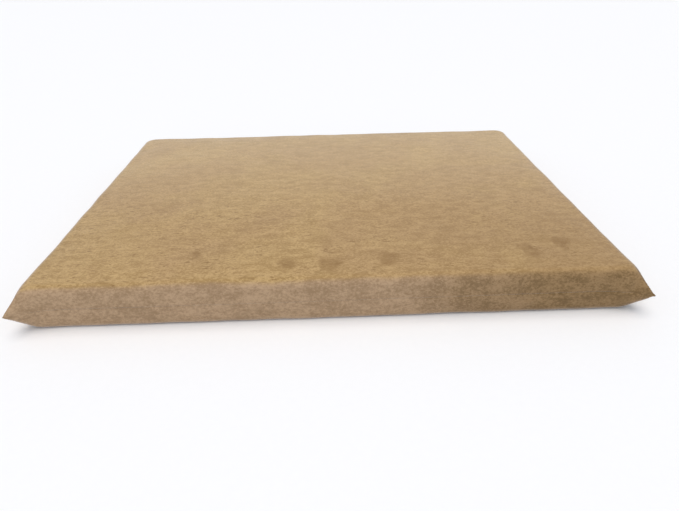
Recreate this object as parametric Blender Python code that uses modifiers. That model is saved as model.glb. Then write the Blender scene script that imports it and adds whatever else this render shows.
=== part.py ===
"""Flat rectangular foam pet bed in a sewn knife-edge cover, with a zipper along its rear side.

Metres, +Z up. The pad lies on z = 0, centred on the origin, its long side along X and its rear towards +Y.
The cover's two panels meet in one seam round the middle of the sides, and the corners are drawn out to ears.
"""

import math

import bmesh
import bpy
from mathutils import Matrix, Vector

# Pad, outside the cover
WIDTH = 1.016
DEPTH = 0.762
THICKNESS = 0.079
SEAM_HEIGHT = THICKNESS / 2
CORNER_RADIUS = 0.018
LEAST_CORNER_RADIUS = 0.003
FILLING_CORNER_RADIUS = 0.028      # upright corners of the foam and its liner
TOP_EDGE_RADIUS = 0.017
BOTTOM_EDGE_RADIUS = 0.007
SEAM_BULGE = 0.003
RIM_ANGLES = (90, 65, 40, 15)         # rings of a panel round its rim, from the flat face
WALL_SHARES = (0, 0.3, 0.6, 0.85)     # rings of a panel down its wall, 1 being the seam
SAME_PLACE = 1e-6

# Ears: how far a tip stands out of the corner along X and along Y, and how far back along a side it starts
EAR_OUT = 0.0165
EAR_REACH = 0.070
EAR_STEPS = 6
ARC_SHARE = 0.4     # part of a corner's outline points that lie on its arc

# Cloth and foam
FABRIC = 0.0010
LIP_DEPTH = 0.0025
LINER = 0.0005
LINER_INSET = 0.0021
LINER_SLIT = (0.60, 0.002)
BASE_FOAM = 0.0505
GAP = 0.0003
SEAM_THREAD_RADIUS = 0.0004
SEAM_THREAD_EAR = 0.6   # the thread doesn't reach into the tips of the ears

# Zipper: y is measured out from the nominal rear face, z from the seam
ZIP_HALF = 0.425
SLOT_HALF = 0.437
SLOT_HALF_HEIGHT = 0.005
CUT_DEPTH = 0.010      # how far a cutter reaches into and out of the rear side
TAPE_Y = (-0.0004, 0.0002)
TAPE_Z = (0.0012, 0.0130)
COIL_Y = (0.0005, 0.0023)
COIL_Z = (0.00015, 0.0030)
STITCH_Z = 0.008
STITCH_RADIUS = 0.00025
STOP_LENGTH = 0.0025
STOP_Z = (0.0003, 0.0028)
BOTTOM_STOP_LENGTH = 0.0035
BOTTOM_STOP_HALF_HEIGHT = 0.0033
TAPE_SPARE = 0.009
TACK_SIZE = (0.0016, 0.0005, 0.0110)

# Rounding of small edges
COIL_SOFTNESS = 0.0005
TOP_STOP_SOFTNESS = 0.0003
BOTTOM_STOP_SOFTNESS = 0.0004
TACK_SOFTNESS = 0.0002
BRIDGE_SOFTNESS = 0.0008
TAB_SOFTNESS = 0.00015
LABEL_SOFTNESS = 0.0001

# Slider, from its own centre
SLIDER_LENGTH = 0.012
SLIDER_WIDTH = 0.0094
SLIDER_TAIL_WIDTH = 0.0074
WING_CORNER_RADIUS = 0.0015
INNER_WING_Y = (-0.0017, -0.0007)
OUTER_WING_Y = (0.0026, 0.0038)
POST_X = 0.0040
POST_RADIUS = 0.0008
RIM_X = (-0.0046, 0.0026)
RIM_Z = (0.0034, 0.0039)
ROOT = 0.0004  # how far one joined shape reaches into the next
BRIDGE_HALF_LENGTH = 0.0035
BRIDGE_HALF_WIDTH = 0.0012
BRIDGE_TOP = 0.0070
BRIDGE_BAR = 0.0012

# Pull tab, from its hinge, lying along -X at rest
TAB_HINGE_Y = 0.0048
TAB_LENGTH = 0.028
TAB_HALF_WIDTH = 0.00325
TAB_THICKNESS = 0.0012
TAB_EYE = (-0.0047, -0.0006)
TAB_EYE_HALF_WIDTH = 0.0016
TAB_GRIP_SLOT = (-0.0245, -0.0165)
TAB_GRIP_HALF_WIDTH = 0.0009
TAB_END_TAPER = 0.85
TAB_END_RADIUS = 0.0020

# Label in the right side's seam
LABEL_SIZE = (0.0005, 0.022, 0.030)
LABEL_Y = 0.246

REAR = DEPTH / 2
SLIDER_REST_X = ZIP_HALF - STOP_LENGTH / 2 - GAP - SLIDER_LENGTH / 2
CORNERS = ((1, 1), (1, -1), (-1, -1), (-1, 1))  # clockwise from the rear right


def clear_scene():
    for obj in list(bpy.data.objects):
        bpy.data.objects.remove(obj, do_unlink=True)


def new_collection(name, is_helper=False):
    collection = bpy.data.collections.new(name)
    bpy.context.scene.collection.children.link(collection)
    collection.hide_render = is_helper
    return collection


def new_material(name, colour, roughness, metallic=0.0):
    material = bpy.data.materials.new(name)
    material.use_nodes = True
    shader = material.node_tree.nodes["Principled BSDF"]
    shader.inputs["Base Color"].default_value = (*colour, 1.0)
    shader.inputs["Roughness"].default_value = roughness
    shader.inputs["Metallic"].default_value = metallic
    material.diffuse_color = (*colour, 1.0)
    return material


def add_object(name, bm, material, location=(0, 0, 0)):
    """A part from a bmesh, or a cutter if it has no material."""
    bmesh.ops.recalc_face_normals(bm, faces=bm.faces)
    mesh = bpy.data.meshes.new(name)
    bm.to_mesh(mesh)
    bm.free()
    obj = bpy.data.objects.new(name, mesh)
    obj.location = location
    if material:
        mesh.materials.append(material)
        PARTS.objects.link(obj)
    else:
        obj.hide_render = True
        obj.display_type = "WIRE"
        CUTTERS.objects.link(obj)
    return obj


def cube(low, high):
    """A bmesh box between two corners."""
    bm = bmesh.new()
    size = Vector(high) - Vector(low)
    centre = (Vector(high) + Vector(low)) / 2
    matrix = Matrix.Translation(centre) @ Matrix.Diagonal((*size, 1))
    bmesh.ops.create_cube(bm, size=1, matrix=matrix)
    return bm


def box(name, low, high, material=None, location=(0, 0, 0)):
    return add_object(name, cube(low, high), material, location)


def helper_cylinder(name, radius, length, location, matrix):
    """A helper cylinder, along Z before its matrix turns it."""
    bm = bmesh.new()
    bmesh.ops.create_cone(
        bm,
        cap_ends=True,
        segments=16,
        radius1=radius,
        radius2=radius,
        depth=length,
        matrix=matrix,
    )
    return add_object(name, bm, None, location)


def boolean(obj, other, operation):
    modifier = obj.modifiers.new(other.name, "BOOLEAN")
    modifier.operation = operation
    modifier.solver = "EXACT"
    modifier.object = other


def soften(obj, width):
    """Rounds a part's sharp edges."""
    modifier = obj.modifiers.new("soft_edges", "BEVEL")
    modifier.width = width
    modifier.segments = 2
    modifier.limit_method = "ANGLE"
    modifier.angle_limit = math.radians(40)


def bulge(height):
    """How far the sides stand out of the nominal pad at a height: none at the faces, most at the seam."""
    off_middle = abs(height - SEAM_HEIGHT) / SEAM_HEIGHT
    return SEAM_BULGE * (1 - off_middle**2) ** 2


def ear_share(height):
    """0 at the top and bottom faces, 1 at the seam."""
    return (1 - abs(height - SEAM_HEIGHT) / SEAM_HEIGHT) ** 2


def corner_offset(back, radius, ear):
    """From a square corner to the outline: (along the side, out of the side), back running from 0 to 1."""
    if back <= ARC_SHARE:
        angle = math.radians(45 + 45 * back / ARC_SHARE)
        along = radius * (math.cos(angle) - 1)
        out = radius * (math.sin(angle) - 1)
    else:
        straight = (back - ARC_SHARE) / (1 - ARC_SHARE)
        along = -radius - straight * (EAR_REACH - radius)
        out = 0.0
    ear_along = EAR_OUT - back * (EAR_REACH + EAR_OUT)
    ear_out = EAR_OUT * (1 - back) ** 2
    return along + ear * (ear_along - along), out + ear * (ear_out - out)


def outline(inset, ear):
    """Plan outline of the pad as (x, y) points, clockwise, starting and ending on the rear side."""
    radius = max(CORNER_RADIUS - inset, LEAST_CORNER_RADIUS)
    points = []
    for side_x, side_y in CORNERS:
        for step in range(-EAR_STEPS, EAR_STEPS + 1):
            along, out = corner_offset(abs(step) / EAR_STEPS, radius, ear)
            on_long_side = (step < 0) == (side_x * side_y > 0)
            shift_x, shift_y = (along, out) if on_long_side else (out, along)
            x = side_x * (WIDTH / 2 - inset + shift_x)
            y = side_y * (DEPTH / 2 - inset + shift_y)
            points.append((x, y))
    return points


def loft(name, rings, material):
    """A closed body from rings of (inset, height, ear), capped at the first and the last."""
    bm = bmesh.new()
    loops = []
    for inset, height, ear in rings:
        loops.append([bm.verts.new((x, y, height)) for x, y in outline(inset, ear)])
    for lower, upper in zip(loops, loops[1:]):
        for i in range(len(lower)):
            j = (i + 1) % len(lower)
            bm.faces.new((lower[i], lower[j], upper[j], upper[i]))
    bm.faces.new(loops[0])
    bm.faces.new(loops[-1])
    return add_object(name, bm, material)


def wall_rings(rim_radius, side, depth):
    """Rings of a panel at a depth in its cloth, from its flat face over the rim and down to the seam."""
    face = SEAM_HEIGHT * (1 + side)
    rings = []
    for angle in RIM_ANGLES:
        turn = math.radians(angle)
        height = face - side * (depth + (rim_radius - depth) * (1 - math.sin(turn)))
        rings.append((depth + (rim_radius - depth) * (1 - math.cos(turn)), height))
    rim_end = face - side * rim_radius
    for share in WALL_SHARES:
        rings.append((depth, rim_end + share * (SEAM_HEIGHT - rim_end)))
    return [(inset - bulge(height), height, ear_share(height)) for inset, height in rings]


def panel_rings(rim_radius, side):
    """Rings of one cover panel: over the outside to the seam, round the turned-in lip, and back inside.

    side is 1 for the top panel and -1 for the bottom one.
    """
    lip_outer = SEAM_HEIGHT + side * GAP / 2
    lip_inner = lip_outer + side * FABRIC
    lip = [
        (-SEAM_BULGE, lip_inner, 1.0),
        (-SEAM_BULGE, lip_outer, 1.0),
        (-SEAM_BULGE + LIP_DEPTH, lip_outer, 1.0),
        (-SEAM_BULGE + LIP_DEPTH, lip_inner, 1.0),
        (-SEAM_BULGE + FABRIC, lip_inner, 1.0),
    ]
    outside = wall_rings(rim_radius, side, 0.0)
    inside = wall_rings(rim_radius, side, FABRIC)
    return outside + lip + inside[::-1]


def cover_panel(name, rim_radius, side):
    panel = loft(name, panel_rings(rim_radius, side), MICROSUEDE)
    boolean(panel, ZIPPER_SLOT, "DIFFERENCE")
    return panel


def slab(name, inset, low, high, material, top_radius=0.0, bottom_radius=0.0):
    """A block with rounded upright corners, and rims rounded where a radius is given."""
    half_x = WIDTH / 2 - inset
    half_y = DEPTH / 2 - inset
    bm = cube((-half_x, -half_y, low), (half_x, half_y, high))
    upright = [e for e in bm.edges if abs(e.verts[0].co.z - e.verts[1].co.z) > (high - low) / 2]
    bmesh.ops.bevel(bm, geom=upright, offset=FILLING_CORNER_RADIUS, segments=5, profile=0.5, affect="EDGES")
    for height, radius in ((high, top_radius), (low, bottom_radius)):
        if radius:
            rim = [e for e in bm.edges if all(abs(v.co.z - height) < SAME_PLACE for v in e.verts)]
            bmesh.ops.bevel(bm, geom=rim, offset=radius, segments=4, profile=0.5, affect="EDGES")
    return add_object(name, bm, material)


def tube(name, points, radius, material):
    """A thread or wire with round section and closed ends."""
    curve = bpy.data.curves.new(name, "CURVE")
    curve.dimensions = "3D"
    curve.bevel_depth = radius
    curve.bevel_resolution = 1
    curve.use_fill_caps = True
    spline = curve.splines.new("POLY")
    spline.points.add(len(points) - 1)
    for point, place in zip(spline.points, points):
        point.co = (*place, 1.0)
    curve.materials.append(material)
    obj = bpy.data.objects.new(name, curve)
    PARTS.objects.link(obj)
    return obj


def filling():
    """Two foam slabs, one on the other, in a thin bag whose rear has an open slit."""
    foam_inset = LINER_INSET + LINER + GAP
    base_low = FABRIC + GAP + LINER + GAP
    base_high = base_low + BASE_FOAM
    comfort_low = base_high + GAP
    comfort_high = THICKNESS - base_low
    top_radius = TOP_EDGE_RADIUS - foam_inset
    bottom_radius = BOTTOM_EDGE_RADIUS - foam_inset
    slab("foam_base_layer", foam_inset, base_low, base_high, SUPPORT_FOAM, bottom_radius=bottom_radius)
    slab("foam_comfort_layer", foam_inset, comfort_low, comfort_high, COMFORT_FOAM, top_radius=top_radius)

    liner_low = FABRIC + GAP
    liner_high = THICKNESS - liner_low
    liner = slab(
        "inner_liner",
        LINER_INSET,
        liner_low,
        liner_high,
        LINER_CLOTH,
        top_radius=TOP_EDGE_RADIUS - LINER_INSET,
        bottom_radius=BOTTOM_EDGE_RADIUS - LINER_INSET,
    )
    hollow = slab(
        "liner_hollow",
        LINER_INSET + LINER,
        liner_low + LINER,
        liner_high - LINER,
        None,
        top_radius=TOP_EDGE_RADIUS - LINER_INSET - LINER,
        bottom_radius=BOTTOM_EDGE_RADIUS - LINER_INSET - LINER,
    )
    slit_length, slit_height = LINER_SLIT
    slit = box(
        "liner_slit",
        (-slit_length / 2, REAR - CUT_DEPTH, SEAM_HEIGHT - slit_height / 2),
        (slit_length / 2, REAR + CUT_DEPTH, SEAM_HEIGHT + slit_height / 2),
    )
    boolean(liner, hollow, "DIFFERENCE")
    boolean(liner, slit, "DIFFERENCE")


def seam_thread():
    """The thread that joins the panels' lips round three sides; the zipper closes the fourth."""
    inset = -SEAM_BULGE + LIP_DEPTH + GAP + SEAM_THREAD_RADIUS
    points = [(x, y, SEAM_HEIGHT) for x, y in outline(inset, SEAM_THREAD_EAR)]
    tube("perimeter_seam_thread", points, SEAM_THREAD_RADIUS, THREAD)


def zipper_half(name, side):
    """Tape, coil, top stop and stitching of the half above (side 1) or below (side -1) the seam."""

    def strip(part, x_range, y_range, z_range, material):
        heights = sorted(SEAM_HEIGHT + side * z for z in z_range)
        low = (x_range[0], REAR + y_range[0], heights[0])
        high = (x_range[1], REAR + y_range[1], heights[1])
        return box(f"zipper_{part}_{name}", low, high, material)

    coil_start = -ZIP_HALF + BOTTOM_STOP_LENGTH / 2 + GAP
    coil_end = SLIDER_REST_X + POST_X - POST_RADIUS - GAP
    stop = (ZIP_HALF - STOP_LENGTH / 2, ZIP_HALF + STOP_LENGTH / 2)
    strip("tape", (-ZIP_HALF - TAPE_SPARE, ZIP_HALF + TAPE_SPARE), TAPE_Y, TAPE_Z, ZIPPER_TAPE)
    coil = strip("coil", (coil_start, coil_end), COIL_Y, COIL_Z, ZIPPER_COIL)
    soften(coil, COIL_SOFTNESS)
    top_stop = strip("top_stop", stop, COIL_Y, STOP_Z, ZIPPER_METAL)
    soften(top_stop, TOP_STOP_SOFTNESS)

    height = SEAM_HEIGHT + side * STITCH_Z
    y = REAR + bulge(height) + GAP + STITCH_RADIUS
    ends = [(-SLOT_HALF, y, height), (SLOT_HALF, y, height)]
    tube(f"zipper_stitching_{name}", ends, STITCH_RADIUS, THREAD)


def zipper_ends():
    """The stop at the open end, and the tacks that lock both ends of the opening."""
    bottom_stop = box(
        "zipper_bottom_stop",
        (-ZIP_HALF - BOTTOM_STOP_LENGTH / 2, REAR + COIL_Y[0], SEAM_HEIGHT - BOTTOM_STOP_HALF_HEIGHT),
        (-ZIP_HALF + BOTTOM_STOP_LENGTH / 2, REAR + COIL_Y[1], SEAM_HEIGHT + BOTTOM_STOP_HALF_HEIGHT),
        ZIPPER_METAL,
    )
    soften(bottom_stop, BOTTOM_STOP_SOFTNESS)
    length, thickness, height = TACK_SIZE
    low_y = REAR + SEAM_BULGE + GAP
    for side, name in ((-1, "bar_tack_left"), (1, "bar_tack_right")):
        x = side * (SLOT_HALF + length)
        tack = box(
            name,
            (x - length / 2, low_y, SEAM_HEIGHT - height / 2),
            (x + length / 2, low_y + thickness, SEAM_HEIGHT + height / 2),
            THREAD,
        )
        soften(tack, TACK_SOFTNESS)


def wing(name, y_range, material=None):
    """One plate of the slider, narrower at its tail."""
    half_length = SLIDER_LENGTH / 2
    half_width = SLIDER_WIDTH / 2
    bm = cube((-half_length, y_range[0], -half_width), (half_length, y_range[1], half_width))
    for vert in bm.verts:
        if vert.co.x < 0:
            vert.co.z *= SLIDER_TAIL_WIDTH / SLIDER_WIDTH
    upright = [e for e in bm.edges if abs(e.verts[0].co.y - e.verts[1].co.y) > SAME_PLACE]
    bmesh.ops.bevel(bm, geom=upright, offset=WING_CORNER_RADIUS, segments=3, profile=0.5, affect="EDGES")
    return add_object(name, bm, material, SLIDER_PLACE)


def slider():
    """Outer wing with its two rims, inner wing, the post between them and the bridge for the tab."""
    body = wing("zipper_slider", OUTER_WING_Y, ZIPPER_METAL)
    inner = wing("slider_inner_wing", INNER_WING_Y)
    post_centre = Vector((POST_X, (OUTER_WING_Y[0] + INNER_WING_Y[1]) / 2, 0))
    post = helper_cylinder(
        "slider_post",
        POST_RADIUS,
        OUTER_WING_Y[0] - INNER_WING_Y[1] + 2 * ROOT,
        SLIDER_PLACE,
        Matrix.Translation(post_centre) @ Matrix.Rotation(math.radians(90), 4, "X"),
    )
    bridge = box(
        "slider_bridge",
        (-BRIDGE_HALF_LENGTH, OUTER_WING_Y[1] - ROOT, -BRIDGE_HALF_WIDTH),
        (BRIDGE_HALF_LENGTH, BRIDGE_TOP, BRIDGE_HALF_WIDTH),
        location=SLIDER_PLACE,
    )
    soften(bridge, BRIDGE_SOFTNESS)
    bridge_hole = box(
        "slider_bridge_hole",
        (-BRIDGE_HALF_LENGTH + BRIDGE_BAR, OUTER_WING_Y[1], -2 * BRIDGE_HALF_WIDTH),
        (BRIDGE_HALF_LENGTH - BRIDGE_BAR, BRIDGE_TOP - BRIDGE_BAR, 2 * BRIDGE_HALF_WIDTH),
        location=SLIDER_PLACE,
    )
    boolean(body, inner, "UNION")
    boolean(body, post, "UNION")
    for side, name in ((-1, "slider_rim_lower"), (1, "slider_rim_upper")):
        z_range = sorted(side * z for z in RIM_Z)
        rim = box(
            name,
            (RIM_X[0], TAPE_Y[1] + GAP, z_range[0]),
            (RIM_X[1], OUTER_WING_Y[0] + ROOT, z_range[1]),
            location=SLIDER_PLACE,
        )
        boolean(body, rim, "UNION")
    boolean(body, bridge, "UNION")
    boolean(body, bridge_hole, "DIFFERENCE")
    return body


def pull_tab(body):
    """A flat tab whose eye holds the hinge bar under the bridge; it turns about Z."""
    half = TAB_THICKNESS / 2
    hinge = (0, TAB_HINGE_Y, 0)
    bm = cube((-TAB_LENGTH, -half, -TAB_HALF_WIDTH), (0, half, TAB_HALF_WIDTH))
    for vert in bm.verts:
        if vert.co.x < -TAB_LENGTH / 2:
            vert.co.z *= TAB_END_TAPER
    end_corners = [e for e in bm.edges if e.verts[0].co.x == e.verts[1].co.x == -TAB_LENGTH]
    end_corners = [e for e in end_corners if abs(e.verts[0].co.y - e.verts[1].co.y) > half]
    bmesh.ops.bevel(bm, geom=end_corners, offset=TAB_END_RADIUS, segments=4, profile=0.5, affect="EDGES")
    tab = add_object("zipper_pull_tab", bm, ZIPPER_METAL, hinge)
    tab.parent = body
    bar = helper_cylinder("tab_bar", half, 2 * TAB_HALF_WIDTH, hinge, Matrix())
    eye = box(
        "tab_eye",
        (TAB_EYE[0], -TAB_THICKNESS, -TAB_EYE_HALF_WIDTH),
        (TAB_EYE[1], TAB_THICKNESS, TAB_EYE_HALF_WIDTH),
        location=hinge,
    )
    grip_slot = box(
        "tab_grip_slot",
        (TAB_GRIP_SLOT[0], -TAB_THICKNESS, -TAB_GRIP_HALF_WIDTH),
        (TAB_GRIP_SLOT[1], TAB_THICKNESS, TAB_GRIP_HALF_WIDTH),
        location=hinge,
    )
    for cutter in (bar, eye, grip_slot):
        cutter.parent = body
    boolean(tab, bar, "UNION")
    boolean(tab, eye, "DIFFERENCE")
    boolean(tab, grip_slot, "DIFFERENCE")
    soften(tab, TAB_SOFTNESS)


def care_label():
    """A blank folded label that hangs from the right side's seam near the rear."""
    thickness, width, height = LABEL_SIZE
    x = WIDTH / 2 + SEAM_BULGE + GAP
    label = box(
        "care_label",
        (x, LABEL_Y - width / 2, SEAM_HEIGHT - GAP - height),
        (x + thickness, LABEL_Y + width / 2, SEAM_HEIGHT - GAP),
        LABEL_CLOTH,
    )
    soften(label, LABEL_SOFTNESS)


clear_scene()
PARTS = new_collection("pet_cushion_bed")
CUTTERS = new_collection("cutters", is_helper=True)

MICROSUEDE = new_material("microsuede", (0.44, 0.29, 0.145), 0.9)
COMFORT_FOAM = new_material("comfort_foam", (0.86, 0.82, 0.66), 0.95)
SUPPORT_FOAM = new_material("support_foam", (0.80, 0.80, 0.80), 0.95)
LINER_CLOTH = new_material("liner_cloth", (0.80, 0.80, 0.78), 0.8)
THREAD = new_material("thread", (0.36, 0.23, 0.11), 0.7)
ZIPPER_TAPE = new_material("zipper_tape", (0.30, 0.19, 0.09), 0.85)
ZIPPER_COIL = new_material("zipper_coil", (0.26, 0.16, 0.075), 0.45)
ZIPPER_METAL = new_material("zipper_metal", (0.33, 0.25, 0.15), 0.35, 1.0)
LABEL_CLOTH = new_material("label_cloth", (0.85, 0.84, 0.80), 0.6)

SLIDER_PLACE = (SLIDER_REST_X, REAR, SEAM_HEIGHT)
ZIPPER_SLOT = box(
    "zipper_slot",
    (-SLOT_HALF, REAR - CUT_DEPTH, SEAM_HEIGHT - SLOT_HALF_HEIGHT),
    (SLOT_HALF, REAR + CUT_DEPTH, SEAM_HEIGHT + SLOT_HALF_HEIGHT),
)

filling()
cover_panel("cover_top_panel", TOP_EDGE_RADIUS, 1)
cover_panel("cover_bottom_panel", BOTTOM_EDGE_RADIUS, -1)
seam_thread()
zipper_half("upper", 1)
zipper_half("lower", -1)
zipper_ends()
pull_tab(slider())
care_label()
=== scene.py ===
import math

import bmesh
import bpy
import numpy as np
from mathutils import Matrix, Vector, noise
from mathutils.bvhtree import BVHTree


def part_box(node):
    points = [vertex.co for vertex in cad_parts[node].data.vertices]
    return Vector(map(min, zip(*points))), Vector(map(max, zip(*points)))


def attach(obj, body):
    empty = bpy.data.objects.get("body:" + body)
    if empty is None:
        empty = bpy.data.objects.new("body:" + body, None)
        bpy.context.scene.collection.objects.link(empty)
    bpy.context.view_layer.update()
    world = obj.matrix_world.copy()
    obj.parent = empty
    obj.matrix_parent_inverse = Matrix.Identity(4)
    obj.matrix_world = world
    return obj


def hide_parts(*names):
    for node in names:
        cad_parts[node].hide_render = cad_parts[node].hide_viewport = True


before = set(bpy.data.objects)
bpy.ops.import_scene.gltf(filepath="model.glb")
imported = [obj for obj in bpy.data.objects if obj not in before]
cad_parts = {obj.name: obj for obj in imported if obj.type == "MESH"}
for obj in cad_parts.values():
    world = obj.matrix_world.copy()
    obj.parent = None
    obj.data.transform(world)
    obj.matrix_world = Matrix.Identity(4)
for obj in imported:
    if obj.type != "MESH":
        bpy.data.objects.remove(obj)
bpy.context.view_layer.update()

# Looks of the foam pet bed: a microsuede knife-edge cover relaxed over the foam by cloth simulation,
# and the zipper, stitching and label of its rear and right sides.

# The pad's own sizes, worked out from the frame
COVER_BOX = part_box("cover_top_panel")
LINER_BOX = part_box("inner_liner")
LINER_INSET = 0.0021
HALF_X = LINER_BOX[1].x + LINER_INSET
HALF_Y = LINER_BOX[1].y + LINER_INSET
SEAM_Z = COVER_BOX[1].z / 2
SEAM_BULGE = 0.003      # how far the side walls stand out at the seam
EAR_OUT = COVER_BOX[1].x - HALF_X - SEAM_BULGE
EAR_REACH = 0.085       # along the side, where a corner ear starts to flare out
TOP_RADIUS = 0.015
BOTTOM_RADIUS = 0.008
CORNER_RADIUS = 0.028
LEAST_RADIUS = 0.004
EAR_POWER = {1: 1.08, -1: 1.0}     # how the ear's ridge runs up (1) and down (-1) from its tip; 1 is straight
EAR_FLARE = 2.2         # how suddenly the side turns out into the ear
CORNER_SHARPENING = 0.8     # how fast a corner's radius shrinks as the panel runs inwards
CORNER_FADE = 0.06      # the corners turn sharp between this far along the cloth and twice as far
FABRIC = 0.001

# Cloth grid for the simulation: fine along the edges of the cut panels, coarser in the middle
FINE_CELL = 0.005
COARSE_CELL = 0.011
FINE_BAND = 0.075
START_NOISE = 0.0006

# Simulation
FOAM_INSET = 0.0022
SHRINK = 0.992          # the cut panels are a little small, so that the cover is taut
PRESSURE = 0.04
FRAMES = 24
MOST_MOTION = 0.006
EAR_HOLD = 0.55         # share of the motion that is held back at the tips of the ears
EAR_HOLD_REACH = 0.05

# Shown panels: rows this far from the seam, then even cells
SEAM_ROWS = (0, 0.0007, 0.0015, 0.0024, 0.0034, 0.0046, 0.006, 0.0078, 0.010, 0.013)
EDGE_CELL = 0.0035
MIDDLE_CELL = 0.0075
GROOVE = 0.0010
GROOVE_WIDTH = 0.0040
PUCKER = 0.0007
PUCKER_WAVE = 0.016
PUCKER_REACH = 0.016
PUCKER_TALL = 0.25      # heights count for this share, so that the puckers stand upright
EAR_TIP_REACH = 0.03
EAR_TIP_GROOVE = 0.6    # share of the seam's groove that is lost at an ear's tip
DIMPLE = 0.0035
DIMPLE_BACK = 0.010
DIMPLE_WIDTH = 0.007
DIMPLE_Z = 0.050
DIMPLE_HEIGHT = 0.010
DIMPLE_REACH = 0.03     # from the seam
CREST_WAVE = 0.0011
CREST_WAVE_LENGTH = 0.065
CREST_PLACE = 0.04      # from the seam, over the rim of the foam
CREST_REACH = 0.03
TOP_WAVE = 0.0010
TOP_WAVE_LENGTH = 0.16
SMALL_WAVE_SHARE = 0.35
SMALL_WAVE_LENGTH = 0.05
TOP_WAVE_RISE = 0.08    # from the seam, where the top's waves reach their full height

# Zipper opening in the rear wall
SLOT_HALF = 0.437
SLOT_HALF_HEIGHT = 0.005
SLOT_TAPER = 0.008
LEAST_OPENING = 0.15    # below this share of the opening's height the panels are sewn together
SLOT_READINGS = 800     # points along the rear edge at which its place is read
SLOT_END_ROWS = 12
ROLL = 0.0016
ROLL_WIDTH = 0.003
STITCH_Z = 0.008
CHANNEL = 0.0006
CHANNEL_WIDTH = 0.0016
ZIP_HOLD = 0.022        # near the seam the rear wall keeps its place, and this hold fades over this distance
ZIP_HOLD_SPREAD = 1.6   # it ends at this many times that distance
ZIP_HOLD_END = 0.05     # past the opening's ends, where the wall moves freely again
ZIP_HOLD_FADE = 0.04

# Soft dark finger marks in the nap near the front edge: x, y, size
FINGER_MARKS = ((-0.075, -0.330, 0.024), (-0.002, -0.335, 0.026), (0.098, -0.322, 0.022),
                (0.345, -0.310, 0.024), (0.409, -0.288, 0.022), (-0.235, -0.290, 0.014))

# Tapes, coil, stitches, label
TAPE_TAIL = 0.0065      # how far a tape reaches past the CAD tape's ends, under the bar tacks
TAPE_GAP = 0.00095      # from the zipper's middle to a tape's inner edge, clear of the slider's post
TAPE_CLOSING = (0.4237, 0.4277)     # past the slider's travel, where the two inner edges close up
TAPE_EDGE = 0.0001      # from the zipper's middle to a tape's inner edge, where the tapes have closed up
TAPE_CELL = 0.004
TAPE_END_ROWS = 6
TAPE_COLUMNS = 7
TAPE_THICKNESS = 0.0005
TAPE_RIPPLE = 0.0001
TAPE_RIPPLE_LENGTH = 0.03
COIL_PITCH = 0.0015
COIL_WIRE = 0.0003
COIL_REACH = 0.00045    # how far each coil reaches across the middle, between the other's turns
COIL_STEPS = 8          # points to each turn
STITCH_PITCH = 0.0032
STITCH_LENGTH = 0.0027
STITCH_RADIUS = 0.00028
# Along a stitch: the share of its length, and how far out it lies there, in radii of its thread
STITCH_LIFTS = ((0, -0.6), (0.12, 0.35), (0.35, 0.75), (0.65, 0.75), (0.88, 0.35), (1, -0.6))
THREAD_SIDES = 6
PINCHED_END = 0.35      # a tube's radius at its two ends, as a share of its radius between them
TACK_PITCH = 0.0005
TACK_SINK = 0.0002
LABEL_ROWS = 14
LABEL_COLUMNS = 8
LABEL_LIFT = 0.0035
LABEL_WAVE = 0.0006
LABEL_WAVE_TURN = 5     # radians of the wave from the seam to the fold
LABEL_CURL = 0.0012     # how far the fold's corners stand out
LABEL_THICKNESS = 0.0003
LABEL_GAP = 1.6         # between the two leaves, in thicknesses

# Floor and camera: the photograph's viewpoint, worked out from the pad's outline
FLOOR_HALF = 150
CAMERA_PLACE = (-0.00508, -1.0836, 0.5404)
CAMERA_YAW = 1.434
CAMERA_PITCH = 30.66
CAMERA_ROLL = -1.094
CAMERA_LENS = 27.70
SENSOR_WIDTH = 36


# ---------------------------------------------------------------- shape of the wrapped cover

def smooth_step(x):
    x = np.clip(x, 0, 1)
    return x * x * (3 - 2 * x)


def flat_reach(rim_radius):
    """How far a cut panel reaches past the pad's side: up the wall and round the rim."""
    return SEAM_Z - 2 * rim_radius + rim_radius * math.pi / 2


def grid_lines(half):
    """Lines of the cloth grid from -half to half, denser towards both ends."""
    fine = np.arange(0, FINE_BAND, FINE_CELL)
    inner = half - FINE_BAND
    cells = int(round(2 * inner / COARSE_CELL))
    middle = np.linspace(-inner, inner, cells + 1)
    return np.concatenate([-half + fine, middle, (half - fine)[::-1]])


def profile(path, rim_radius):
    """Cross-section of one panel from the seam: path along the cloth gives (inset, height above the seam)."""
    wall = SEAM_Z - rim_radius
    arc = rim_radius * math.pi / 2
    angle = np.clip((path - wall) / rim_radius, 0, math.pi / 2)
    inset = rim_radius * (1 - np.cos(angle)) + np.maximum(path - wall - arc, 0)
    height = np.minimum(path, wall) + rim_radius * np.sin(angle)
    off_middle = np.clip(height / SEAM_Z, 0, 1)
    return inset - SEAM_BULGE * (1 - off_middle**2) ** 2, height


def half_side(share, half_along, half_across, radius, ear):
    """Outline from the middle of a side (share 0) to its corner (share 1), as (along, across)."""
    tip = half_along + EAR_OUT
    ear_along = share * tip
    back = np.clip((tip - ear_along) / (EAR_REACH + EAR_OUT), 0, 1)
    ear_across = half_across + EAR_OUT * (1 - back) ** EAR_FLARE
    diagonal = radius * (1 - math.cos(math.pi / 4))
    round_along = share * (half_along - diagonal)
    turn = np.clip(round_along - (half_along - radius), 0, radius)
    round_across = half_across - radius + np.sqrt(np.maximum(radius**2 - turn**2, 0))
    along = round_along + ear * (ear_along - round_along)
    across = round_across + ear * (ear_across - round_across)
    return along, across


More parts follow.
